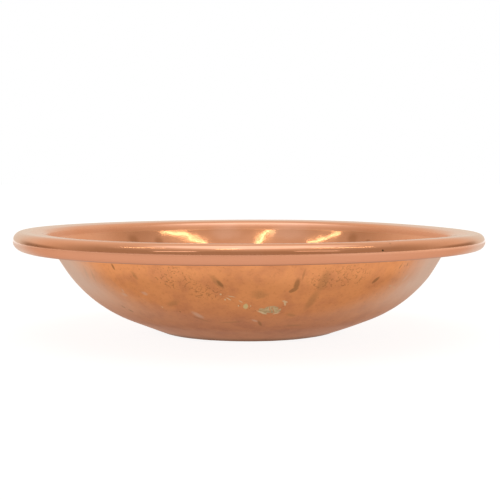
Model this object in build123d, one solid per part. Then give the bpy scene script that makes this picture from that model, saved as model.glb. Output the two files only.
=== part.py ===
"""Shallow copper bowl on a flat base, with a wide lip rolled round an iron ring.

The bowl is raised from one sheet of copper. The sheet rises from the flat base as a low cone,
turns up through the belly, flares out through the neck into a nearly flat lip, and ends in a
curl that is closed round a plain iron ring. The ring is bent from round bar, with its two ends
butted together inside the curl.

Millimetres, +Z up. The origin is the centre of the face that the bowl stands on.
"""

import os
from math import asin, cos, degrees, radians, sin, tan

from build123d import *

# Overall sizes
RIM_DIAMETER = 406.0  # across the outside of the rolled edge
HEIGHT = 88.0  # from the resting face to the top of the lip
BASE_DIAMETER = 150.0  # the flat base, measured to its sharp corner
LIP_WIDTH = 27.0  # from the neck's sharp corner, on the underside, to the outside of the rolled edge

# Stock
SHEET = 1.3  # copper thickness
RING_BAR = 12.7  # diameter of the iron bar

# Slopes, in degrees
CONE_RISE = 21.5  # the wall above the horizontal, just outside the base
WALL_LEAN = 29.0  # the wall from the vertical, just below the lip
LIP_RISE = 3.0  # the lip above the horizontal, from neck to curl

# Bends, as the radius of the outer surface
BASE_BEND = 4.0
BELLY_BEND = 115.0
NECK_BEND = 10.0
STRAIGHT_LEFT = 1.0  # the least straight wall kept at each end of the belly bend

# Fits
WRAP_CLEARANCE = 0.05  # copper to iron, all round the bar
SEAM_GAP = 0.4  # the curl's cut edge to the lip's underside
RING_BUTT_GAP = 1.5  # between the two ends of the ring

CURL_INSIDE = RING_BAR / 2 + WRAP_CLEARANCE
CURL_OUTSIDE = CURL_INSIDE + SHEET
RING_CENTRE = Vector(RIM_DIAMETER / 2 - CURL_OUTSIDE, HEIGHT - CURL_OUTSIDE)
WALL_ANGLE = 90 - WALL_LEAN

# How far round the bar the sheet goes, from where the lip touches the wrap to the cut edge
CURL_TURN = 270 + degrees(asin((CURL_INSIDE - SEAM_GAP) / CURL_OUTSIDE))


def heading(angle):
    """The unit vector at an angle in degrees, in the section's plane."""
    return Vector(cos(radians(angle)), sin(radians(angle)))


def meet(point_a, angle_a, point_b, angle_b):
    """The point where two lines cross, each given by a point on it and its angle."""
    along_a, along_b = heading(angle_a), heading(angle_b)
    apart = point_b - point_a
    turn = along_a.X * along_b.Y - along_a.Y * along_b.X
    distance = (apart.X * along_b.Y - apart.Y * along_b.X) / turn
    return point_a + along_a * distance


def sheet_corners(depth):
    """The sharp corners of one face of the sheet in section, from the axis to the curl.

    A depth of 0 is the face that touches the table, the air below the lip and the iron. A depth
    of SHEET is the other one, which lines the bowl and shows on the lip and the curl.
    """
    up = {angle: heading(angle + 90) * depth for angle in (0, CONE_RISE, WALL_ANGLE, LIP_RISE)}
    lip_end = RING_CENTRE + heading(90 + LIP_RISE) * CURL_INSIDE
    neck_radius = RIM_DIAMETER / 2 - LIP_WIDTH
    neck_drop = (lip_end.X - neck_radius) * tan(radians(LIP_RISE))
    neck = Vector(neck_radius, lip_end.Y - neck_drop)
    base = Vector(BASE_DIAMETER / 2, 0)
    return [
        Vector(0, depth),
        meet(up[0], 0, base + up[CONE_RISE], CONE_RISE),
        meet(base + up[CONE_RISE], CONE_RISE, neck + up[WALL_ANGLE], WALL_ANGLE),
        meet(neck + up[WALL_ANGLE], WALL_ANGLE, neck + up[LIP_RISE], LIP_RISE),
        lip_end + up[LIP_RISE],
    ]


def belly_bend():
    """The belly's outer radius, no larger than the cone and the upper wall leave room for."""
    base, belly, neck = sheet_corners(0)[1:4]
    cone_run = (belly - base).length - BASE_BEND * tan(radians(CONE_RISE / 2))
    wall_run = (neck - belly).length - NECK_BEND * tan(radians((WALL_ANGLE - LIP_RISE) / 2))
    room = min(cone_run, wall_run) - STRAIGHT_LEFT
    return min(BELLY_BEND, room / tan(radians((WALL_ANGLE - CONE_RISE) / 2)))


def sheet_side(depth):
    """One face of the sheet in section: the run from the axis to the curl, then the curl."""
    bends = [BASE_BEND - depth, belly_bend() - depth, NECK_BEND + depth]
    run = FilletPolyline(*sheet_corners(depth), radius=bends)
    curl = CenterArc(RING_CENTRE, CURL_INSIDE + depth, 90 + LIP_RISE, -CURL_TURN)
    return run, curl


def bowl_shell():
    """The copper: base, wall, lip and curl in one sheet of even thickness."""
    under_run, inner_curl = sheet_side(0)
    upper_run, outer_curl = sheet_side(SHEET)
    axis_edge = Line(under_run @ 0, upper_run @ 0)
    cut_edge = Line(inner_curl @ 1, outer_curl @ 1)
    section = make_face([under_run, inner_curl, cut_edge, outer_curl, upper_run, axis_edge])
    return revolve(Plane.XZ * section, Axis.Z, 360)


def rim_ring():
    """The iron ring inside the curl, a round bar bent to a circle with butted ends."""
    bar = Pos(RING_CENTRE.X, RING_CENTRE.Y) * Circle(RING_BAR / 2)
    butt_angle = degrees(RING_BUTT_GAP / RING_CENTRE.X)
    ring = revolve(Plane.XZ * bar, Axis.Z, 360 - butt_angle)
    return Rot(0, 0, butt_angle / 2) * ring


PARTS = {
    "bowl_shell": bowl_shell,
    "rim_ring": rim_ring,
}

os.makedirs("parts", exist_ok=True)
for name, make in PARTS.items():
    solid = make()
    solid.label = name
    export_step(solid, f"parts/{name}.step")
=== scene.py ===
from math import asin, cos, pi, radians, sin, tan

import bpy
import numpy as np
from mathutils import Euler, Matrix, Vector
from mathutils.kdtree import KDTree


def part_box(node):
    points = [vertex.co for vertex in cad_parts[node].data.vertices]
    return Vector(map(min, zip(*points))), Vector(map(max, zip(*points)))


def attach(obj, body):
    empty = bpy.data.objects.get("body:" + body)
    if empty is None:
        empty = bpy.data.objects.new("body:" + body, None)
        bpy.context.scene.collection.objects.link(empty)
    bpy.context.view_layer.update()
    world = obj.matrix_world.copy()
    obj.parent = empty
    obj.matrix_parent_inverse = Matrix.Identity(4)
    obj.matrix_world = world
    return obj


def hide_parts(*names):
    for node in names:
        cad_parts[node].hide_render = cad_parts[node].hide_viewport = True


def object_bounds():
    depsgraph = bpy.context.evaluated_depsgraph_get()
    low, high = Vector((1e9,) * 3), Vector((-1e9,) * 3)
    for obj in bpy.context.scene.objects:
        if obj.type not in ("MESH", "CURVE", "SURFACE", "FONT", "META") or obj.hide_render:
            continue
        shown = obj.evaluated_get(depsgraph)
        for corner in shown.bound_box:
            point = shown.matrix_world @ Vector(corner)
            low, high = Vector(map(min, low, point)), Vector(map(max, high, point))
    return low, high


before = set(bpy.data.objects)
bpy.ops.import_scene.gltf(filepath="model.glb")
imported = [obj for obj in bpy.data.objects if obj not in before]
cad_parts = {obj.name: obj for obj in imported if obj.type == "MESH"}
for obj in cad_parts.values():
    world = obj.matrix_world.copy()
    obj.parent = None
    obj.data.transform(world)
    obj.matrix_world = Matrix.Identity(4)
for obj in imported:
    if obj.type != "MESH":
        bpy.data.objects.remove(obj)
cad_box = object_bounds()

MM = 0.001

# ---------------------------------------------------------------------------------------------
# The section of the sheet, as the maker would set it out. The overall sizes come from the frame.

SHEET = 1.3 * MM
BASE_RADIUS = 75 * MM
LIP_WIDTH = 27 * MM
CONE_RISE = radians(21.5)
WALL_RISE = radians(61)
LIP_RISE = radians(3)
BASE_BEND = 4 * MM
BELLY_BEND = 115 * MM
NECK_BEND = 10 * MM
SEAM_GAP = 0.4 * MM  # from the curl's cut edge to the underside of the lip
WRAP_CLEARANCE = 0.05 * MM  # from the copper to the iron
BUTT_GAP = 1.5 * MM  # between the iron bar's two ends

RIM_RADIUS = cad_box[1].x
HEIGHT = cad_box[1].z
NECK_RADIUS = RIM_RADIUS - LIP_WIDTH
ring_low, ring_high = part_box("rim_ring")
BAR_RADIUS = (ring_high.z - ring_low.z) / 2
CURL_INSIDE = BAR_RADIUS + WRAP_CLEARANCE
CURL_OUTSIDE = CURL_INSIDE + SHEET
RING_RADIUS = ring_high.y - BAR_RADIUS
RING_HEIGHT = (ring_high.z + ring_low.z) / 2

# How finely the pieces are divided
RUN_STEP = 3 * MM
BASE_STEPS = 4
BELLY_STEPS = 28
NECK_STEPS = 9
CURL_STEPS = 30
ROUND_STEPS = 400
BAR_SIDES = 20
RING_STEPS = 180
MERGE_WITHIN = 0.01 * MM
SMOOTH_BELOW = radians(40)

# The hammer blows
COURSE_STEP = 9.5 * MM  # from one ring of blows to the next
BLOW_STEP = 11 * MM  # from one blow to the next, round the ring
FEWEST_BLOWS = 4  # in a ring near the middle
BLOW_DEPTH = 0.06 * MM  # from the ridges between the blows to their middles
BLOW_REACH = 6.5 * MM  # from a blow's middle to the ridge
BLOW_STRAY = 0.14  # how far a blow strays, as a share of the step
BLOW_UNEVEN = 0.25  # how much the blows differ, as a share of their depth
EDGE_SHARE = 0.3  # how deep they are on the foot and the lip, as a share of the wall's
SEED = 11

# The uneven shape. An uneven stretch is given as its size, its middle in degrees from the front (which is -Y)
# towards +X, and how many degrees it reaches to each side.
SWELL = 0.45 * MM  # the upper wall's belly, out from straight
WALL_RUN = 30 * MM  # how long that stretch of wall is
RELIEF_ROOM = 0.1 * MM  # how far the bead stands in, so that its bumps stay inside the true size
BEAD_FULLER = [(0.075, -30, 75), (0.03, 170, 80)]  # sizes as shares of the bead's own
BEAD_SLIMMER = [(0.10, 78, 50), (0.05, -95, 40)]
BEAD_BOTTOM = (3.2 * CURL_OUTSIDE, 2.6 * CURL_OUTSIDE)  # depths below the rim where its changes fade in
DROOP = (1.9 * MM, 105, 65)  # how far the lip sags
LIP_WAVE = 0.15 * MM  # how far the lip waves all the way round
LIP_WAVES = 3
FULLNESS = (1.2 * MM, 85, 75)  # how much fuller the belly is
BELLY_FROM = (5 * MM, 25 * MM)  # the heights where that begins and is full
BELLY_TO = (45 * MM, 70 * MM)  # and where it fades and ends
FOOT_WEAR = (0.5 * MM, 75, 75)  # how far the foot's corner is worn up
FOOT_FROM = (0.7 * BASE_RADIUS, 0.96 * BASE_RADIUS)
FOOT_TO = (BASE_RADIUS, 1.25 * BASE_RADIUS)

# What is painted on the sheet's vertices
PAINTED_SHADE_LOW = (0.82, 0.97)  # how low on the curl the painted shade starts and is full, as a share of its radius
BEAD_DULLNESS = 0.8
DULL_FROM = RING_HEIGHT - 1.3 * MM  # the bead is dull below this
BRIGHT_FROM = RING_HEIGHT + 0.6 * MM  # and burnished above this


def deselect():
    """Leaves nothing selected, with the scene in object mode."""
    if bpy.context.object and bpy.context.object.mode != "OBJECT":
        bpy.ops.object.mode_set(mode="OBJECT")
    bpy.ops.object.select_all(action="DESELECT")


def edit_all():
    """Goes into edit mode with all of the active piece selected."""
    bpy.ops.object.mode_set(mode="EDIT")
    bpy.ops.mesh.select_all(action="SELECT")


def name_piece(name):
    """Names the active object and its mesh."""
    piece = bpy.context.object
    piece.name = name
    piece.data.name = name
    return piece


# ---------------------------------------------------------------------------------------------
# Drawing the section line


def heading(angle):
    """The direction at an angle above the horizontal, in the section's plane."""
    return Vector((cos(angle), 0, sin(angle)))


def meet(point_a, angle_a, point_b, angle_b):
    """Where two lines of the section cross."""
    along_a, along_b = heading(angle_a), heading(angle_b)
    apart = point_b - point_a
    turn = along_a.x * along_b.z - along_a.z * along_b.x
    return point_a + along_a * ((apart.x * along_b.z - apart.z * along_b.x) / turn)


def draw_straight(start, end, step):
    """Extrudes the line's end vertex along a straight run, in even steps."""
    count = max(1, round((end - start).length / step))
    for _ in range(count):
        bpy.ops.mesh.extrude_region_move(TRANSFORM_OT_translate={"value": (end - start) / count})


def draw_bend(centre, turn, steps):
    """Spins the line's end vertex round a centre. A positive turn bends the line upwards."""
    bpy.ops.mesh.spin(steps=steps, angle=turn, center=centre, axis=(0, 1, 0), use_auto_merge=False)


def draw_section():
    """The sheet's lower face in section, from the axis out to the cut edge of the curl."""
    ring_centre = Vector((RING_RADIUS, 0, RING_HEIGHT))
    lip_end = ring_centre + heading(pi / 2 + LIP_RISE) * CURL_INSIDE
    neck = Vector((NECK_RADIUS, 0, lip_end.z - (lip_end.x - NECK_RADIUS) * tan(LIP_RISE)))
    base = Vector((BASE_RADIUS, 0, 0))
    belly = meet(base, CONE_RISE, neck, WALL_RISE)
    centre_line = Vector((0, 0, 0))

    bpy.ops.mesh.primitive_plane_add(size=2 * MM, location=centre_line)
    edit_all()
    bpy.ops.mesh.merge(type="CENTER")
    bpy.ops.mesh.select_mode(type="VERT")

    corners = [
        (base, 0, CONE_RISE, BASE_BEND, BASE_STEPS),
        (belly, CONE_RISE, WALL_RISE, BELLY_BEND, BELLY_STEPS),
        (neck, WALL_RISE, LIP_RISE, NECK_BEND, NECK_STEPS),
    ]
    reached = centre_line
    for corner, before, after, radius, steps in corners:
        turn = after - before
        tangent = radius * tan(abs(turn) / 2)
        bend_start = corner - heading(before) * tangent
        side = 1 if turn > 0 else -1
        centre = bend_start + heading(before + side * pi / 2) * radius
        draw_straight(reached, bend_start, RUN_STEP)
        draw_bend(centre, turn, steps)
        reached = corner + heading(after) * tangent
    draw_straight(reached, lip_end, RUN_STEP)
    curl_turn = 3 * pi / 2 + asin((CURL_INSIDE - SEAM_GAP) / CURL_OUTSIDE)
    draw_bend(ring_centre, -curl_turn, CURL_STEPS)
    bpy.ops.object.mode_set(mode="OBJECT")


# ---------------------------------------------------------------------------------------------
# The shape that the hammer and the years leave


def read_points(piece):
    """The piece's vertices as an array, one row each."""
    points = np.empty(len(piece.data.vertices) * 3)
    piece.data.vertices.foreach_get("co", points)
    return points.reshape(-1, 3)


def write_points(piece, points):
    """Moves the piece's vertices to the array's places."""
    piece.data.vertices.foreach_set("co", points.ravel())
    piece.data.update()


def paint(piece, name, values):
    """Gives each vertex of the piece a value that its finish reads."""
    layer = piece.data.attributes.new(name, "FLOAT", "POINT")
    layer.data.foreach_set("value", values)


def read_line(piece):
    """The (radius, height) of each vertex of a line drawn in the XZ plane, in order from the axis."""
    beside = {vertex.index: [] for vertex in piece.data.vertices}
    for edge in piece.data.edges:
        first, second = edge.vertices
        beside[first].append(second)
        beside[second].append(first)
    place = min(beside, key=lambda index: piece.data.vertices[index].co.length)
    order = [place]
    while ahead := [index for index in beside[place] if index not in order[-2:]]:
        place = ahead[0]
        order.append(place)
    return np.array([piece.data.vertices[index].co.xz for index in order])


def smooth(low, high, value):
    """Rises smoothly from 0 at low to 1 at high."""
    share = np.clip((value - low) / (high - low), 0, 1)
    return share * share * (3 - 2 * share)


def hump(angle, size, middle, reach):
    """The size at the middle angle, falling smoothly to 0 at reach degrees to each side of it."""
    apart = np.abs((angle - middle + 180) % 360 - 180)
    return size * np.cos(np.clip(apart / reach, 0, 1) * pi / 2) ** 2


def shape_by_hand(points):
    """The bowl's unevenness: its bead, its sagging side, its fuller belly and its foot's worn corner."""
    angle = np.degrees(np.arctan2(points[:, 0], -points[:, 1]))
    radius = np.hypot(points[:, 0], points[:, 1])
    height = points[:, 2]
    outwards = points[:, :2] / np.maximum(radius, MM)[:, None]

    # The bead is fuller or slimmer in places, from the sheet's inner corner at its outer top, and stands in
    in_bead = smooth(NECK_RADIUS, RING_RADIUS - CURL_OUTSIDE, radius)
    in_bead = in_bead * smooth(HEIGHT - BEAD_BOTTOM[0], HEIGHT - BEAD_BOTTOM[1], height)
    fuller = sum(hump(angle, *stretch) for stretch in BEAD_FULLER)
    slimmer = sum(hump(angle, *stretch) for stretch in BEAD_SLIMMER)
    size = 1 + (fuller - slimmer) * in_bead
    corner_radius = RIM_RADIUS - SHEET
    corner_height = HEIGHT - SHEET
    radius = corner_radius - RELIEF_ROOM * in_bead - (corner_radius - radius) * size
    height = corner_height - RELIEF_ROOM * in_bead - (corner_height - height) * size

    # The wall and lip sag near +X, and the lip is a little wavy all the way round
    lift = (np.clip(height, 0, None) / HEIGHT) ** 2
    wave = LIP_WAVE * (1 - np.cos(np.radians(LIP_WAVES * (angle + 90))))
    height = height - (hump(angle, *DROOP) + wave) * lift

    # The belly is fuller towards +X
    belly = smooth(*BELLY_FROM, height) * (1 - smooth(*BELLY_TO, height))
    radius = radius + belly * hump(angle, *FULLNESS)

    # The foot's corner is worn round on its front right
    worn = smooth(*FOOT_FROM, radius) * (1 - smooth(*FOOT_TO, radius))
    height = height + worn * hump(angle, *FOOT_WEAR)

    # It stands flat
    height = np.maximum(height, 0)
    return np.column_stack([outwards * radius[:, None], height])


def tree_of(places):
    """A tree that finds the nearest of the places."""
    tree = KDTree(len(places))
    for index, place in enumerate(places):
        tree.insert(place, index)
    tree.balance()
    return tree


def blow_places(section, length):
    """The middle of each blow, on its ring, with how much deeper or shallower it is than the rest."""
    dice = np.random.default_rng(SEED)
    blows = []
    for course in np.arange(COURSE_STEP / 2, length[-1], COURSE_STEP):
        around = 2 * pi * np.interp(course, length, section[:, 0])
        count = max(FEWEST_BLOWS, round(around / BLOW_STEP))
        stray = dice.normal(0, BLOW_STRAY, (2, count))
        turns = (np.arange(count) + dice.uniform() + stray[0]) * 2 * pi / count
        places = course + stray[1] * COURSE_STEP
        radii = np.interp(places, length, section[:, 0])
        heights = np.interp(places, length, section[:, 1])
        uneven = dice.normal(0, BLOW_UNEVEN, count)
        blows += zip(radii * np.sin(turns), -radii * np.cos(turns), heights, uneven)
    return blows


def hammer(points, section):
    """Rings of shallow overlapping blows all over the sheet, deepest on the wall."""
    steps = np.diff(section, axis=0)
    length = np.concatenate([[0], np.cumsum(np.hypot(steps[:, 0], steps[:, 1]))])
    slope = np.gradient(section, axis=0)
    slope = slope / np.hypot(slope[:, 0], slope[:, 1])[:, None]

    # Where each point lies along the section, and the way square to the sheet there
    line = tree_of([(radius, 0, height) for radius, height in section])
    radius = np.hypot(points[:, 0], points[:, 1])
    nearest = np.array([line.find((r, 0, h))[1] for r, h in zip(radius, points[:, 2])])
    outwards = points[:, :2] / np.maximum(radius, MM)[:, None]
    square = np.column_stack([outwards * slope[nearest, 1:2], -slope[nearest, 0]])
    along = length[nearest]

    # Each point's depth follows from how far it is from the nearest blow
    blows = blow_places(section, length)
    marks = tree_of([blow[:3] for blow in blows])
    relief = np.empty(len(points))
    for place, point in enumerate(points):
        _, blow, apart = marks.find(point)
        relief[place] = min((apart / BLOW_REACH) ** 2, 1) + blows[blow][3]
    neck = length[np.argmax(section[:, 0] > NECK_RADIUS)]
    wall = smooth(0.8 * BASE_RADIUS, 1.2 * BASE_RADIUS, along)
    wall = wall * (1 - smooth(neck - NECK_BEND, neck + NECK_BEND, along))
    depth = BLOW_DEPTH * (EDGE_SHARE + (1 - EDGE_SHARE) * wall)

    # The upper wall is a little bellied, not straight
    top = np.clip((neck - along) / WALL_RUN, 0, 1)
    swell = SWELL * np.sin(pi * top)
    return points + square * (relief * depth + swell)[:, None]


def face_down(shell):
    """Turns the sheet's faces so that the foot's point down, away from what the bowl holds."""
    middle = min(shell.data.polygons, key=lambda face: face.center.length)
    if middle.normal.z > 0:
        edit_all()
        bpy.ops.mesh.flip_normals()
        bpy.ops.object.mode_set(mode="OBJECT")


def paint_bead_shade(shell):
    """Marks how dark the painted shade is along the lowest line of the bead, before the shape is made uneven.
    """
    points = read_points(shell)
    radius = np.hypot(points[:, 0], points[:, 1])
    lowness = (RING_HEIGHT - points[:, 2]) / CURL_INSIDE
    on_curl = radius > RING_RADIUS - CURL_OUTSIDE
    # Painted shade, not dirt: darkest at the bottom of the curl
    paint(shell, "bead_painted_shade", smooth(*PAINTED_SHADE_LOW, lowness) * on_curl)


def paint_dull(shell, sheet_points):
    """Marks how dull the copper is: the outside and the underside of the bead, but not the lining."""
    points = read_points(shell)
    radius = np.hypot(points[:, 0], points[:, 1])
    under_bead = 1 - smooth(DULL_FROM, BRIGHT_FROM, points[:, 2])
    on_bead = radius > RING_RADIUS - 1.2 * CURL_OUTSIDE
    dull = np.where(on_bead, BEAD_DULLNESS * under_bead, 0.0)
    dull[:sheet_points] = 1.0
    paint(shell, "dull", dull)


def bowl_shell():
    """The copper sheet: spun from its section, hammered, and given its thickness."""
    deselect()
    draw_section()
    shell = name_piece("copper_shell")
    section = read_line(shell)

    edit_all()
    bpy.ops.mesh.spin(steps=ROUND_STEPS, angle=2 * pi, center=(0, 0, 0), axis=(0, 0, 1))
    bpy.ops.mesh.select_all(action="SELECT")
    bpy.ops.mesh.remove_doubles(threshold=MERGE_WITHIN)
    bpy.ops.mesh.normals_make_consistent(inside=False)
    bpy.ops.object.mode_set(mode="OBJECT")
    face_down(shell)
    paint_bead_shade(shell)

    points = shape_by_hand(hammer(read_points(shell), section))
    write_points(shell, points)

    wall = shell.modifiers.new("thickness", "SOLIDIFY")
    wall.thickness = SHEET
    wall.offset = -1
    wall.use_even_offset = True
    bpy.ops.object.modifier_apply(modifier=wall.name)
    bpy.ops.object.shade_smooth_by_angle(angle=SMOOTH_BELOW)
    paint_dull(shell, len(points))
    return shell


def rim_ring():
    """The iron bar inside the bead: a disc spun round to its butt joint, then bent as the bead is."""
    butt_angle = BUTT_GAP / RING_RADIUS / 2
    deselect()
    bpy.ops.mesh.primitive_circle_add(
        vertices=BAR_SIDES, radius=BAR_RADIUS, fill_type="NGON",
        location=(RING_RADIUS * cos(butt_angle), RING_RADIUS * sin(butt_angle), RING_HEIGHT),
        rotation=(pi / 2, 0, butt_angle),
    )
    bpy.ops.object.transform_apply(location=True, rotation=True, scale=True)
    ring = name_piece("iron_ring")
    edit_all()
    bpy.ops.mesh.spin(steps=RING_STEPS, angle=2 * pi - 2 * butt_angle, center=(0, 0, 0), axis=(0, 0, 1))
    bpy.ops.mesh.select_all(action="SELECT")
    bpy.ops.mesh.normals_make_consistent(inside=False)
    bpy.ops.object.mode_set(mode="OBJECT")
    write_points(ring, shape_by_hand(read_points(ring)))
    bpy.ops.object.shade_smooth_by_angle(angle=SMOOTH_BELOW)
    return ring


# ---------------------------------------------------------------------------------------------
# Node helpers

FLOAT = "NodeSocketFloat"
VECTOR = "NodeSocketVector"
WHITE = (1.0, 1.0, 1.0)


def add(tree, kind, settings=None, sockets=None):
    """Adds a node. A socket is given a value, or another node's output to link to it."""
    node = tree.nodes.new(kind)
    for name, value in (settings or {}).items():
        setattr(node, name, value)
    for key, value in (sockets or {}).items():
        if isinstance(value, bpy.types.NodeSocket):
            tree.links.new(value, node.inputs[key])
        else:
            node.inputs[key].default_value = value
    return node


def maths(tree, operation, *values):
    """A Math node's result."""
    return add(tree, "ShaderNodeMath", {"operation": operation}, dict(enumerate(values))).outputs[0]


def chain(tree, operation, first, *others):
    """The result of a Math operation on the first value and each of the others in turn."""
    for other in others:
        first = maths(tree, operation, first, other)
    return first


def product(tree, *values):
    """The values multiplied together."""
    return chain(tree, "MULTIPLY", *values)


def total(tree, *values):
    """The values added together."""
    return chain(tree, "ADD", *values)


def largest(tree, *values):
    """The largest of the values."""
    return chain(tree, "MAXIMUM", *values)


def less(tree, value, other):
    """The value with the other taken away."""
    return maths(tree, "SUBTRACT", value, other)


def between(tree, value, low, high):
    """0 below low and 1 above high, smoothly. Low may be the larger of the two."""
    sockets = {"Value": value, "From Min": low, "From Max": high}
    return add(tree, "ShaderNodeMapRange", {"interpolation_type": "SMOOTHSTEP"}, sockets).outputs[0]


def noise(tree, vector, size, detail=3.0, roughness=0.55):
    """Noise from 0 to 1, with features of about the size given in metres."""
    sockets = {"Vector": vector, "Scale": 1 / size, "Detail": detail, "Roughness": roughness}
    return add(tree, "ShaderNodeTexNoise", None, sockets).outputs["Fac"]


def colour_input(colour):
    """A colour as a socket takes it: another node's output, or red, green, blue and 1."""
    return colour if isinstance(colour, bpy.types.NodeSocket) else (*colour, 1)


def blend(tree, share, first, second, way="MIX"):
    """Two colours mixed, with the second one's share."""
    sockets = {0: share, 6: colour_input(first), 7: colour_input(second)}
    return add(tree, "ShaderNodeMix", {"data_type": "RGBA", "blend_type": way}, sockets).outputs[2]


def lay(tree, colour, mask, coat):
    """A colour with a coat, which is a strength and a colour, laid over it where the mask is."""
    strength, over = coat
    return blend(tree, product(tree, mask, strength), colour, over)


def attribute(tree, name):
    """A value that is painted on the piece's vertices."""
    return add(tree, "ShaderNodeAttribute", {"attribute_name": name}).outputs["Fac"]


def new_group(name, inputs, outputs):
    """A node group. An input whose default is None is a vector, and the others are numbers."""
    group = bpy.data.node_groups.new(name, "ShaderNodeTree")
    for label, default in inputs.items():
        kind = VECTOR if default is None else FLOAT
        socket = group.interface.new_socket(name=label, in_out="INPUT", socket_type=kind)
        if default is not None:
            socket.default_value = default
    for label, kind in outputs.items():
        group.interface.new_socket(name=label, in_out="OUTPUT", socket_type=kind)
    return group, add(group, "NodeGroupInput").outputs, add(group, "NodeGroupOutput").inputs


def use_group(tree, group, sockets=None):
    """Places a node group in a tree and returns its outputs."""
    return add(tree, "ShaderNodeGroup", {"node_tree": group}, sockets).outputs


def new_material(name, finish):
    """A material with one Principled shader, whose plain values are given."""
    material = bpy.data.materials.new(name)
    material.use_nodes = True
    tree = material.node_tree
    shader = tree.nodes["Principled BSDF"]
    for socket, value in finish.items():
        shader.inputs[socket].default_value = value
    return material, tree, shader


def roughen(tree, shader, height, distance):
    """Gives the shader a relief, which is as high as the distance where the height is 1."""
    bump = add(tree, "ShaderNodeBump", None, {"Strength": 1.0, "Distance": distance, "Height": height})
    tree.links.new(bump.outputs[0], shader.inputs["Normal"])


# ---------------------------------------------------------------------------------------------
# Effects shared by the finishes

TURNING_WIDTH = 40 * MM  # how slowly the turned lines change round the bowl
LARGEST_SPECK = 0.32  # a speck's radius, as a share of the step between specks
CRACKLE_WANDER = 4 * MM
CRACKLE_BREAKS = 1.7  # how fine the gaps in the crackle are, against its cells
CRACKLE_KEPT = (0.46, 0.56)  # the noise below which a line is left out, and above which it is whole


def place_group():
    """Where a point is on the bowl: degrees from the front, and height and radius in millimetres."""
    group, _, out = new_group(
        "place on the bowl", {},
        {"Point": VECTOR, "Angle": FLOAT, "Height": FLOAT, "Radius": FLOAT, "Turning": VECTOR},
    )
    point = add(group, "ShaderNodeTexCoord").outputs["Object"]
    x, y, z = add(group, "ShaderNodeSeparateXYZ", None, {0: point}).outputs
    radius = maths(group, "SQRT", total(group, product(group, x, x), product(group, y, y)))
    angle = maths(group, "DEGREES", maths(group, "ARCTAN2", x, product(group, y, -1.0)))
    safe = largest(group, radius, MM)
    turning = add(group, "ShaderNodeCombineXYZ", None, {
        0: product(group, maths(group, "DIVIDE", x, safe), TURNING_WIDTH),
        1: product(group, maths(group, "DIVIDE", y, safe), TURNING_WIDTH),
        2: total(group, z, radius),
    }).outputs[0]
    links = group.links
    links.new(point, out["Point"])
    links.new(angle, out["Angle"])
    links.new(maths(group, "DIVIDE", z, MM), out["Height"])
    links.new(maths(group, "DIVIDE", radius, MM), out["Radius"])
    links.new(turning, out["Turning"])
    return group


def mark_group():
    """One mark on the copper: an oval at an angle and a height, softest at its upper end."""
    group, given, out = new_group("mark", {
        "Angle": 0.0, "Height": 0.0, "Radius": 0.0, "Grain": 0.5,
        "At Angle": 0.0, "At Height": 0.0, "Half Width": 1.0, "Half Height": 1.0,
        "Tilt": 0.0, "Edge": 0.3, "Ragged": 0.5,
    }, {"Mask": FLOAT})
    # How far across and up from the mark's middle, in millimetres
    apart = maths(group, "WRAP", less(group, given["Angle"], given["At Angle"]), 180.0, -180.0)
    across = product(group, maths(group, "RADIANS", apart), given["Radius"])
    up = less(group, given["Height"], given["At Height"])

    # The same along the tilted oval, in its half widths and half heights
    turn = maths(group, "RADIANS", given["Tilt"])
    cosine, sine = maths(group, "COSINE", turn), maths(group, "SINE", turn)
    wide = total(group, product(group, across, cosine), product(group, up, sine))
    tall = less(group, product(group, up, cosine), product(group, across, sine))
    wide = maths(group, "DIVIDE", wide, given["Half Width"])
    tall = maths(group, "DIVIDE", tall, given["Half Height"])

    reach = maths(group, "SQRT", total(group, product(group, wide, wide), product(group, tall, tall)))
    ragged = product(group, less(group, given["Grain"], 0.5), given["Ragged"])
    upper = between(group, tall, -1.0, 0.6)
    softness = product(group, given["Edge"], total(group, 0.5, product(group, upper, 0.5)))
    mask = between(group, total(group, reach, ragged), 1.0, less(group, 1.0, softness))
    group.links.new(mask, out["Mask"])
    return group


def specks_group():
    """Small round dots of uneven size, on some of the cells of an even scatter."""
    inputs = {"Vector": None, "Step": 0.002, "Amount": 0.3}
    group, given, out = new_group("specks", inputs, {"Mask": FLOAT})
    scale = maths(group, "DIVIDE", 1.0, given["Step"])
    cells = add(group, "ShaderNodeTexVoronoi", None, {"Vector": given["Vector"], "Scale": scale})
    chance, size, _ = add(group, "ShaderNodeSeparateColor", None, {0: cells.outputs["Color"]}).outputs
    size = product(group, size, size, LARGEST_SPECK)
    dot = between(group, cells.outputs["Distance"], size, product(group, size, 0.5))
    chosen = maths(group, "LESS_THAN", chance, given["Amount"])
    group.links.new(product(group, dot, chosen), out["Mask"])
    return group


def crackle_group():
    """Short broken lines, like the edges of dried patches."""
    inputs = {"Vector": None, "Step": 0.004, "Width": 0.06}
    group, given, out = new_group("crackle", inputs, {"Mask": FLOAT})
    vector = given["Vector"]
    scale = maths(group, "DIVIDE", 1.0, given["Step"])
    sockets = {"Vector": vector, "Scale": scale, "Detail": 3.0}
    wander = add(group, "ShaderNodeTexNoise", None, sockets).outputs["Color"]
    sockets = {0: wander, "Scale": CRACKLE_WANDER}
    shift = add(group, "ShaderNodeVectorMath", {"operation": "SCALE"}, sockets).outputs[0]
    moved = add(group, "ShaderNodeVectorMath", {"operation": "ADD"}, {0: vector, 1: shift}).outputs[0]
    sockets = {"Vector": moved, "Scale": scale}
    cells = add(group, "ShaderNodeTexVoronoi", {"feature": "DISTANCE_TO_EDGE"}, sockets)
    line = between(group, cells.outputs["Distance"], given["Width"], 0.0)
    sockets = {"Vector": vector, "Scale": product(group, scale, CRACKLE_BREAKS)}
    gaps = add(group, "ShaderNodeTexNoise", None, sockets).outputs["Fac"]
    kept = between(group, gaps, *CRACKLE_KEPT)
    group.links.new(product(group, line, kept), out["Mask"])
    return group


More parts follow.
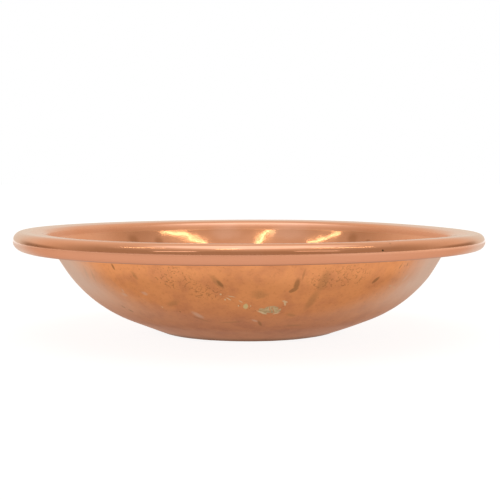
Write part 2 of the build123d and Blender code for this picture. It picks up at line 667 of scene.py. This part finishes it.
# ---------------------------------------------------------------------------------------------
# The marks on the copper
#
# Each mark is its degrees from the front towards +X, its height, half width and half height in millimetres,
# its tilt in degrees, how soft its edge is, and how ragged.

STAINS = [
    (-39.5, 65.9, 1.5, 3.4, 5, 0.7, 0.4),
    (-7.9, 55.4, 1.9, 4.6, 40, 0.7, 0.6),
    (13.2, 55.0, 3.0, 6.2, -6, 0.7, 0.5),
    (12.7, 50.2, 2.0, 4.6, -62, 0.5, 0.5),
    (38.4, 55.2, 1.9, 4.4, -50, 0.5, 0.4),
    (-47.8, 30.5, 1.7, 2.5, 70, 0.8, 0.7),
    (-45.7, 27.4, 1.5, 2.8, 73, 0.8, 0.7),
    (3.8, 21.2, 1.6, 4.4, 34, 0.9, 0.9),
    (-23.1, 30.5, 0.8, 0.8, 0, 0.5, 0.3),
    (46.1, 65.0, 0.9, 2.8, -15, 0.9, 0.6),
    (49.0, 66.0, 0.9, 2.2, 15, 0.9, 0.6),
]
TRAILS = [
    (-54.3, 58.5, 3.0, 8.6, -22, 0.9, 0.5),
    (-51.0, 57.0, 1.9, 7.6, -17, 0.9, 0.5),
    (-62.3, 62.0, 3.2, 3.0, 36, 1.0, 0.6),
    (-8.9, 57.5, 3.2, 8.6, 40, 0.8, 0.9),
    (20.9, 57.6, 5.6, 11.5, -12, 0.8, 0.5),
    (19.2, 42.0, 4.6, 11.5, -17, 0.9, 0.6),
    (14.6, 62.5, 1.4, 6.5, -5, 1.0, 0.5),
    (-17.2, 24.4, 0.9, 8.8, 67, 0.8, 0.9),
    (-7.2, 21.9, 0.8, 13.8, 94, 0.9, 1.0),
    (13.7, 28.6, 2.0, 6.0, 80, 1.0, 1.0),
    (16.8, 18.1, 1.2, 11.1, 91, 0.9, 0.9),
    (-33.0, 60.0, 2.6, 5.0, 20, 1.0, 0.9),
    (-24.0, 38.0, 9.0, 3.0, 20, 1.0, 1.4),
    (3.0, 47.0, 9.0, 5.0, 0, 1.0, 1.4),
]
SPECK_CLOUDS = [
    (26, 60, 30, 11, 10, 0.5, 1.0),
    (-21, 60, 22, 11, -15, 0.5, 1.0),
    (-12, 50, 22, 9, -10, 0.7, 1.2),
]
CREAM_SPOTS = [
    (-8.1, 46.6, 0.9, 0.9, 41, 0.5, 0.7),
    (-7.0, 42.3, 0.9, 0.8, 44, 0.5, 0.7),
    (-5.2, 45.0, 0.45, 4.0, 80, 0.7, 1.0),
    (-5.9, 42.8, 0.6, 2.8, 60, 0.7, 1.0),
    (-2.5, 40.8, 0.5, 1.9, 59, 0.7, 1.0),
    (-3.2, 37.1, 0.8, 0.8, 42, 0.5, 0.4),
    (0.5, 37.0, 0.5, 0.9, 26, 0.5, 0.6),
    (10.8, 39.2, 1.1, 2.6, 19, 0.6, 1.6),
    (10.7, 40.4, 0.7, 2.6, 75, 0.6, 1.4),
    (4.0, 31.2, 0.8, 5.6, 67, 0.6, 1.0),
    (8.9, 30.3, 0.6, 4.0, -76, 0.6, 1.0),
    (-28.8, 33.8, 0.6, 0.7, 0, 0.5, 0.3),
    (46.2, 48.8, 0.6, 2.4, 82, 0.8, 1.4),
    (48.6, 47.2, 0.5, 1.8, 70, 0.8, 1.4),
]
OLIVE_SPOTS = [
    (-1.0, 36.8, 2.1, 2.6, -12, 0.35, 0.9),
]
PALE_SCALE = [
    (6.9, 33.8, 6.6, 3.4, 4, 0.25, 0.7),
    (4.4, 32.4, 2.4, 4.4, 58, 0.3, 0.7),
    (9.2, 32.6, 1.8, 3.2, -50, 0.3, 0.7),
]
SCALE_SCRATCHES = [
    (6.5, 34.0, 0.4, 3.6, 20, 0.5, 0.3),
    (7.5, 33.8, 0.4, 3.0, 26, 0.5, 0.3),
    (9.6, 34.6, 0.5, 2.2, -50, 0.6, 0.6),
]
FAINT_FILMS = [
    (-41.2, 42.5, 2.2, 4.2, 80, 1.0, 1.6),
    (-40.7, 46.1, 1.2, 2.4, 2, 1.0, 1.2),
    (-32.6, 45.1, 2.2, 4.0, 78, 1.0, 1.6),
    (-17.6, 28.2, 2.8, 6.4, 55, 0.9, 1.1),
    (1.8, 23.8, 1.2, 3.4, 70, 1.0, 1.0),
    (63, 61, 4.0, 6.5, -25, 0.9, 1.0),
    (57, 49, 5.0, 4.5, -25, 1.0, 1.6),
    (52, 55, 3.0, 5.0, -30, 1.0, 1.6),
    (66, 48, 3.5, 5.0, -20, 1.0, 1.2),
]
LINING_STAINS = [
    (-138, 72, 9, 7, 0, 1.0, 0.8),
    (-148, 70, 7, 5, 0, 1.0, 0.8),
    (143, 73, 9, 7, 0, 1.0, 0.8),
    (136.5, 71, 3.5, 1.5, 0, 0.8, 0.8),
]
# Painted glows: pale reflected light painted on the lining near the neck at the back
LINING_PAINTED_GLOWS = [
    (166, 77, 26, 10, 0, 1.0, 0.6),
    (-172, 77, 20, 10, 0, 1.0, 0.6),
]
BEAD_PITS = [
    (29, 81.8, 1.0, 0.8, 0, 0.4, 0.5),
    (31.5, 86.4, 0.5, 0.4, 0, 0.5, 0.3),
    (-55, 81.5, 0.5, 0.5, 0, 0.5, 0.3),
    (-58, 81.5, 0.5, 0.5, 0, 0.5, 0.3),
]


def marked(tree, effects, place, grain, marks):
    """The mask of a set of marks."""
    masks = [
        use_group(tree, effects["mark"], {
            "Angle": place["Angle"], "Height": place["Height"], "Radius": place["Radius"], "Grain": grain,
            "At Angle": angle, "At Height": height, "Half Width": half_width, "Half Height": half_height,
            "Tilt": tilt, "Edge": edge, "Ragged": ragged,
        })["Mask"]
        for angle, height, half_width, half_height, tilt, edge, ragged in marks
    ]
    return largest(tree, *masks)


# ---------------------------------------------------------------------------------------------
# The copper
#
# Heights and radii are in millimetres. A pair of them is where an effect starts and where it is full.
# A coat is its strength and its colour.

# Noises: the size of their features, their detail and their roughness
GRAINS = {
    "broad": (60 * MM, 4.0, 0.6),
    "patchy": (18 * MM, 4.0, 0.6),
    "fine": (3 * MM, 4.0, 0.65),
    "peel": (0.9 * MM, 3.0, 0.6),
}
TURNED_GRAIN = (0.8 * MM, 3.0, 0.6)

OUTSIDE_ORANGE = (0.760, 0.315, 0.125)
OUTSIDE_TAN = (0.610, 0.245, 0.092)
OUTSIDE_BROWN = (0.440, 0.176, 0.086)
LEVEL_WANDER = 20.0  # how far up and down the outside's shades wander
TAN_HEIGHTS = (66.0, 52.0)
BROWN_HEIGHTS = (46.0, 11.0)
DIMMING = (0.86, 0.84, 0.92)
DIM_PATCHES = (0.40, 0.70)
DARKENING = (0.72, 0.68, 0.66)
DARK_PATCHES = (0.5, 0.75)
DARK_STRENGTH = 0.45
# Painted shade at the foot, standing in for the contact shadow that it reflects
FOOT_PAINTED_SHADE = (0.75, (0.13, 0.050, 0.024))
FOOT_HEIGHTS = (5.0, 0.5)
TRAIL_COAT = (0.36, (0.24, 0.125, 0.050))
STAIN_COAT = (0.58, (0.24, 0.125, 0.050))
FILM_COAT = (0.4, (0.56, 0.40, 0.30))
CRACKLE = {"Step": 4.2 * MM, "Width": 0.13}
CRACKLE_COAT = (0.5, (0.20, 0.095, 0.036))
SPECK_STEP = 2.4 * MM
SPECKS_EVERYWHERE, SPECKS_IN_CLOUDS = 0.16, 0.34
DUST = {"Step": 1.2 * MM, "Amount": 0.3}
DUST_SHARE = 0.7
SPECK_COAT = (0.5, (0.16, 0.072, 0.032))
BEAD_COLOUR = (0.600, 0.250, 0.135)
BEAD_RADII = (180.0, 186.0)
# Painted shade along the bead's lowest line, where it tucks under
BEAD_PAINTED_SHADE_COAT = (0.75, (0.26, 0.10, 0.045))

# A painted sheen: a pale reflection painted into the colour where the copper turns away, on the wall and at
# the bead's two ends
WALL_PAINTED_SHEEN = (0.9, (0.67, 0.51, 0.42))
WALL_FACING = (0.47, 0.78)
WALL_HEIGHTS = (14.0, 50.0)
WALL_RADII = (190.0, 180.0)
BEAD_PAINTED_SHEEN = (0.7, (0.84, 0.68, 0.57))
BEAD_FACING = (0.50, 0.85)
BEAD_ANGLES = (50.0, 70.0)
BEAD_TOP_RADII = (186.0, 190.0)

LINING_WARM = (0.91, 0.475, 0.300)
LINING_DEEP = (0.89, 0.440, 0.260)
LINING_PATCHES = (0.35, 0.7)
LINING_WORN_COAT = (0.15, (0.74, 0.34, 0.17))
LINING_PAINTED_GLOW_COAT = (0.8, (1.0, 0.58, 0.42))
LINING_BROWN_COAT = (0.5, (0.50, 0.22, 0.10))
LINING_DUST_COAT = (0.12, (0.4, 0.16, 0.07))

PIT_COLOUR = (0.09, 0.075, 0.03)
SCALE_DARK = (0.34, 0.25, 0.12)
SCALE_PALE = (0.50, 0.375, 0.20)
SCALE_FLAKES = (0.4, 0.6)
SCALE_STRENGTH = 0.85
CREAM_COAT = (0.7, (0.60, 0.44, 0.25))
OLIVE_COAT = (0.85, (0.54, 0.43, 0.19))
CRUST_COVER = 0.9  # how much of the metal is lost under the crust

DULL_EDGE = (0.74, 0.62, 0.54)  # the tint of what dull copper reflects at a low angle
DULL_ROUGH, DULL_UNEVEN = 0.33, 0.12
BRIGHT_ROUGH, BRIGHT_UNEVEN = 0.07, 0.07
NECK_ROUGHER = 0.33
NECK_FROM = (170.6, 172.2)
NECK_TO = (175.6, 173.6)
SPOILED_ROUGHER = 0.4
STAIN_SPOILS = 0.4

# Relief, in millimetres
PEEL_HEIGHT = 0.012
TURNED_HEIGHT = 0.0025
CRUST_HEIGHT = 0.06
PIT_DEPTH = 0.03


def outside_copper(tree, effects, place, grains, dust):
    """The colour of the outside, with the masks of its stains and its specks."""
    # Orange above, browner below, with painted shade darkest at the foot, mottled at three scales
    wander = product(tree, less(tree, grains["broad"], 0.5), LEVEL_WANDER)
    level = total(tree, place["Height"], wander)
    colour = blend(tree, between(tree, level, *TAN_HEIGHTS), OUTSIDE_ORANGE, OUTSIDE_TAN)
    colour = blend(tree, between(tree, level, *BROWN_HEIGHTS), colour, OUTSIDE_BROWN)
    dimmer = blend(tree, 1.0, colour, DIMMING, "MULTIPLY")
    colour = blend(tree, between(tree, grains["patchy"], *DIM_PATCHES), colour, dimmer)
    darker = blend(tree, 1.0, colour, DARKENING, "MULTIPLY")
    colour = lay(tree, colour, between(tree, grains["fine"], *DARK_PATCHES), (DARK_STRENGTH, darker))
    # Painted shade at the foot
    colour = lay(tree, colour, between(tree, place["Height"], *FOOT_HEIGHTS), FOOT_PAINTED_SHADE)

    trail = marked(tree, effects, place, grains["fine"], TRAILS)
    stain = marked(tree, effects, place, grains["fine"], STAINS)
    film = marked(tree, effects, place, grains["patchy"], FAINT_FILMS)
    colour = lay(tree, colour, trail, TRAIL_COAT)
    colour = lay(tree, colour, stain, STAIN_COAT)
    colour = lay(tree, colour, film, FILM_COAT)

    # Crackle in three clouds below the lip, and specks, which are thickest there
    clouds = marked(tree, effects, place, grains["patchy"], SPECK_CLOUDS)
    crackle = use_group(tree, effects["crackle"], {"Vector": place["Point"], **CRACKLE})["Mask"]
    colour = lay(tree, colour, product(tree, crackle, clouds), CRACKLE_COAT)
    amount = total(tree, SPECKS_EVERYWHERE, product(tree, clouds, SPECKS_IN_CLOUDS))
    sockets = {"Vector": place["Point"], "Step": SPECK_STEP, "Amount": amount}
    specks = use_group(tree, effects["specks"], sockets)["Mask"]
    specks = largest(tree, specks, product(tree, dust, DUST_SHARE))
    colour = lay(tree, colour, specks, SPECK_COAT)

    # The underside of the bead is pinker, with painted shade along its lowest line
    colour = blend(tree, between(tree, place["Radius"], *BEAD_RADII), colour, BEAD_COLOUR)
    colour = lay(tree, colour, attribute(tree, "bead_painted_shade"), BEAD_PAINTED_SHADE_COAT)
    return colour, stain, specks


def lining_copper(tree, effects, place, grains, dust):
    """The colour inside and on the lip: warm, with a few painted pale glows of reflected light and brown
    patches.
    """
    colour = blend(tree, between(tree, grains["broad"], *LINING_PATCHES), LINING_WARM, LINING_DEEP)
    colour = lay(tree, colour, between(tree, grains["fine"], *DARK_PATCHES), LINING_WORN_COAT)
    # Painted glows of reflected light near the back of the neck, and brown stains
    painted_glow = marked(tree, effects, place, grains["patchy"], LINING_PAINTED_GLOWS)
    brown = marked(tree, effects, place, grains["patchy"], LINING_STAINS)
    colour = lay(tree, colour, painted_glow, LINING_PAINTED_GLOW_COAT)
    colour = lay(tree, colour, brown, LINING_BROWN_COAT)
    return lay(tree, colour, dust, LINING_DUST_COAT)


def crusted(tree, effects, place, fine, dull, colour):
    """The colour with dried spots and scale on it, which aren't metal, and the mask of them all."""
    cream = product(tree, marked(tree, effects, place, fine, CREAM_SPOTS), dull)
    olive = product(tree, marked(tree, effects, place, fine, OLIVE_SPOTS), dull)
    scratched = marked(tree, effects, place, fine, SCALE_SCRATCHES)
    scale = marked(tree, effects, place, fine, PALE_SCALE)
    scale = product(tree, scale, dull, less(tree, 1.0, scratched))
    flaked = blend(tree, between(tree, fine, *SCALE_FLAKES), SCALE_DARK, SCALE_PALE)
    colour = lay(tree, colour, scale, (SCALE_STRENGTH, flaked))
    colour = lay(tree, colour, cream, CREAM_COAT)
    colour = lay(tree, colour, olive, OLIVE_COAT)
    return colour, largest(tree, cream, olive, scale)


def worn_copper(effects):
    """Copper that is burnished inside and on the lip, and dull, stained and spotted outside."""
    material, tree, shader = new_material("worn_copper", {"Metallic": 1.0})
    place = use_group(tree, effects["place"])
    height, radius = place["Height"], place["Radius"]
    dull = attribute(tree, "dull")
    bright = less(tree, 1.0, dull)
    grains = {name: noise(tree, place["Point"], *grain) for name, grain in GRAINS.items()}
    dust = use_group(tree, effects["specks"], {"Vector": place["Point"], **DUST})["Mask"]

    # Colour, with the painted sheen on the wall and then on the bead's two ends
    facing = add(tree, "ShaderNodeLayerWeight", None, {"Blend": 0.5}).outputs["Facing"]
    outside, stain, specks = outside_copper(tree, effects, place, grains, dust)
    turned_away = between(tree, facing, *WALL_FACING)
    on_wall = product(tree, between(tree, height, *WALL_HEIGHTS), between(tree, radius, *WALL_RADII))
    # Painted sheen where the wall turns away
    outside = lay(tree, outside, product(tree, turned_away, on_wall), WALL_PAINTED_SHEEN)
    colour = blend(tree, dull, lining_copper(tree, effects, place, grains, dust), outside)
    turned_away = between(tree, facing, *BEAD_FACING)
    sideways = between(tree, maths(tree, "ABSOLUTE", place["Angle"]), *BEAD_ANGLES)
    on_bead = between(tree, radius, *BEAD_TOP_RADII)
    # Painted sheen at the bead's two ends
    colour = lay(tree, colour, product(tree, turned_away, sideways, on_bead), BEAD_PAINTED_SHEEN)
    pits = marked(tree, effects, place, grains["fine"], BEAD_PITS)
    colour = blend(tree, pits, colour, PIT_COLOUR)
    colour, crust = crusted(tree, effects, place, grains["fine"], dull, colour)
    tree.links.new(colour, shader.inputs["Base Color"])
    tree.links.new(less(tree, 1.0, product(tree, crust, CRUST_COVER)), shader.inputs["Metallic"])
    tree.links.new(blend(tree, dull, WHITE, DULL_EDGE), shader.inputs["Specular Tint"])

    # Gloss. The neck's bend is rougher than the rest of the lining.
    rough_out = total(tree, DULL_ROUGH, product(tree, grains["patchy"], DULL_UNEVEN))
    rough_in = total(tree, BRIGHT_ROUGH, product(tree, grains["broad"], BRIGHT_UNEVEN))
    neck = product(tree, between(tree, radius, *NECK_FROM), between(tree, radius, *NECK_TO))
    rough_in = total(tree, rough_in, product(tree, neck, NECK_ROUGHER))
    spoiled = largest(tree, crust, product(tree, stain, STAIN_SPOILS), pits)
    spoiled = product(tree, spoiled, SPOILED_ROUGHER, dull)
    rough = total(tree, product(tree, rough_out, dull), product(tree, rough_in, bright), spoiled)
    tree.links.new(rough, shader.inputs["Roughness"])

    # Fine relief: orange peel outside, faint turned lines inside, the crust standing a little proud
    turned = noise(tree, place["Turning"], *TURNED_GRAIN)
    sunk = largest(tree, pits, product(tree, specks, dull))
    relief = total(
        tree, product(tree, grains["peel"], PEEL_HEIGHT, dull), product(tree, turned, TURNED_HEIGHT, bright),
        product(tree, crust, CRUST_HEIGHT), product(tree, sunk, -PIT_DEPTH),
    )
    roughen(tree, shader, relief, MM)
    return material


# ---------------------------------------------------------------------------------------------
# The iron

IRON_BLACK = (0.03, 0.028, 0.027)
IRON_BROWN = (0.10, 0.05, 0.025)
BROWN_PATCHES = (0.45, 0.7)
IRON_SPECKS = {"Step": 3 * MM, "Amount": 0.4}
IRON_SPECK_COAT = (0.6, (0.16, 0.07, 0.03))
IRON_ROUGH, IRON_UNEVEN = 0.45, 0.3
IRON_RELIEF = 0.03 * MM


def black_iron(effects):
    """Plain iron bar with its mill scale, browned in places."""
    material, tree, shader = new_material("black_iron", {"Metallic": 0.7})
    point = use_group(tree, effects["place"])["Point"]
    broad = noise(tree, point, 12 * MM)
    fine = noise(tree, point, 1.5 * MM)
    specks = use_group(tree, effects["specks"], {"Vector": point, **IRON_SPECKS})["Mask"]
    colour = blend(tree, between(tree, broad, *BROWN_PATCHES), IRON_BLACK, IRON_BROWN)
    colour = lay(tree, colour, specks, IRON_SPECK_COAT)
    tree.links.new(colour, shader.inputs["Base Color"])
    rough = total(tree, IRON_ROUGH, product(tree, fine, IRON_UNEVEN))
    tree.links.new(rough, shader.inputs["Roughness"])
    roughen(tree, shader, fine, IRON_RELIEF)
    return material


# ---------------------------------------------------------------------------------------------
# The studio

BACK_WALL = Vector((0, 0.165, 0.072))  # the middle of the wall that faces the camera, inside the bowl
FRONT_EDGE = Vector((0, -0.2, 0.08))  # the middle of the bead, nearest the camera
ACROSS = Vector((1, 0, 0))

# Each tube's width, and its places as seen from the back wall: degrees from the front towards +X, degrees up
TUBES = {
    "tube_right": (0.021, [(66.4, 45.5), (51, 50.4), (35.7, 56.3)]),
    "tube_middle": (0.024, [(-17, 51), (-11, 54.8), (-6.9, 58.8)]),
    "tube_left": (0.015, [(-69.2, 45.9), (-60.1, 50.1), (-49.8, 54.5)]),
}
TUBE_DISTANCE = 1.6
TUBE_RADIANCE = 7.5
TUBE_COLOUR = (1, 0.90, 0.62)
WINDOWS = {
    "window_right": Vector((0.85, -1.35, 1.0)),
    "window_left": Vector((-0.95, -1.35, 1.0)),
}
WINDOW_SIZE = (0.6, 0.14)
WINDOW_RADIANCE = 1.0
WINDOW_COLOUR = (1, 0.96, 0.92)

# The room. A pair is how far back (+Y) or up a direction points where a change starts and where it is full.
ROOM_DIM = (0.42, 0.325, 0.24)
ROOM_LIT = (0.79, 0.665, 0.55)
LIT_BACK = (-0.3, 0.7)
LIT_UP = (0.5, 1.0)
CEILING = (1.27, 1.32, 1.40)
CEILING_UP = (0.85, 0.985)
LOW_BAND = (0.36, 0.27, 0.19)
LOW_UP = (0.34, 0.12)
LOW_BACK_FROM = (0.0, 0.4)
LOW_BACK_TO = (0.84, 0.62)

FLOOR_SIZE = 14
FLOOR_GAP = 0.1 * MM  # how far it lies below the foot, whose face it must not share
FLOOR_FINISH = {
    "Base Color": (0.22, 0.22, 0.22, 1), "Roughness": 0.9, "Specular IOR Level": 0.2,
    "Emission Color": (1, 1, 1, 1), "Emission Strength": 0.9,
}

CAMERA_PLACE = (0, -1.1165, 0.1466)
CAMERA_DIP = 3.93  # degrees below level
CAMERA_LENS = 92.3
CAMERA_SENSOR = 36
CAMERA_SHIFT = 0.002


def sky(azimuth, elevation):
    """A tube's place, from its two angles as seen from the back wall."""
    flat = cos(radians(elevation)) * TUBE_DISTANCE
    along = Vector((sin(radians(azimuth)), -cos(radians(azimuth)), 0)) * flat
    return BACK_WALL + along + Vector((0, 0, sin(radians(elevation)) * TUBE_DISTANCE))


def panel(name, middle, along, size, radiance, colour, target):
    """A rectangular light that faces a target, with its length along a direction."""
    light = bpy.data.lights.new(name, "AREA")
    light.color = colour
    light.shape = "RECTANGLE"
    light.size, light.size_y = size
    light.energy = radiance * pi * size[0] * size[1]
    lamp = bpy.data.objects.new(name, light)
    bpy.context.collection.objects.link(lamp)
    back = (middle - target).normalized()
    side = (along - back * along.dot(back)).normalized()
    up = back.cross(side)
    turn = Matrix((side, up, back)).transposed().to_4x4()
    lamp.matrix_world = Matrix.Translation(middle) @ turn
    lamp.visible_camera = False


def tube(name, width, angles):
    """A long narrow warm light through a few places, one panel from each to the next."""
    places = [sky(azimuth, elevation) for azimuth, elevation in angles]
    for start, end in zip(places, places[1:]):
        size = ((end - start).length, width)
        panel(name, (start + end) / 2, end - start, size, TUBE_RADIANCE, TUBE_COLOUR, BACK_WALL)


def white_floor():
    """A plain pale floor, just clear of the foot."""
    deselect()
    bpy.ops.mesh.primitive_plane_add(size=FLOOR_SIZE, location=(0, 0, -FLOOR_GAP))
    floor = name_piece("floor")
    material, _, _ = new_material("white_floor", FLOOR_FINISH)
    floor.data.materials.append(material)


def pale_room():
    """A room that is pale behind the bowl, dimmer in front, dark low down at both sides, and bright overhead.

    What is seen directly, and not reflected, is white.
    """
    world = bpy.data.worlds.new("room")
    bpy.context.scene.world = world
    world.use_nodes = True
    tree = world.node_tree
    direction = add(tree, "ShaderNodeTexCoord").outputs["Generated"]
    _, back, up = add(tree, "ShaderNodeSeparateXYZ", None, {0: direction}).outputs
    lit = largest(tree, between(tree, back, *LIT_BACK), between(tree, up, *LIT_UP))
    colour = blend(tree, lit, ROOM_DIM, ROOM_LIT)
    colour = blend(tree, between(tree, up, *CEILING_UP), colour, CEILING)
    sides = product(tree, between(tree, back, *LOW_BACK_TO), between(tree, back, *LOW_BACK_FROM))
    colour = blend(tree, product(tree, between(tree, up, *LOW_UP), sides), colour, LOW_BAND)
    seen = add(tree, "ShaderNodeLightPath").outputs["Is Camera Ray"]
    tree.links.new(blend(tree, seen, colour, WHITE), tree.nodes["Background"].inputs["Color"])


def studio():
    """Three tubes, two windows, the floor and the room."""
    for name, (width, angles) in TUBES.items():
        tube(name, width, angles)
    for name, middle in WINDOWS.items():
        panel(name, middle, ACROSS, WINDOW_SIZE, WINDOW_RADIANCE, WINDOW_COLOUR, FRONT_EDGE)
    white_floor()
    pale_room()


def camera():
    """In front of the bowl and a little above its lip, looking slightly down through a long lens."""
    data = bpy.data.cameras.new("camera")
    data.lens = CAMERA_LENS
    data.sensor_width = CAMERA_SENSOR
    data.shift_x = CAMERA_SHIFT
    viewer = bpy.data.objects.new("camera", data)
    bpy.context.collection.objects.link(viewer)
    viewer.location = CAMERA_PLACE
    viewer.rotation_euler = Euler((radians(90 - CAMERA_DIP), 0, 0))
    bpy.context.scene.camera = viewer


def main():
    """Makes the two pieces, dresses them and lights them."""
    effects = {
        "place": place_group(), "mark": mark_group(),
        "specks": specks_group(), "crackle": crackle_group(),
    }
    shell = bowl_shell()
    shell.data.materials.append(worn_copper(effects))
    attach(shell, "root")
    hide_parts("bowl_shell")

    ring = rim_ring()
    ring.data.materials.append(black_iron(effects))
    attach(ring, "root")
    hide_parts("rim_ring")

    bpy.context.scene.view_settings.view_transform = "Standard"
    studio()
    camera()


main()
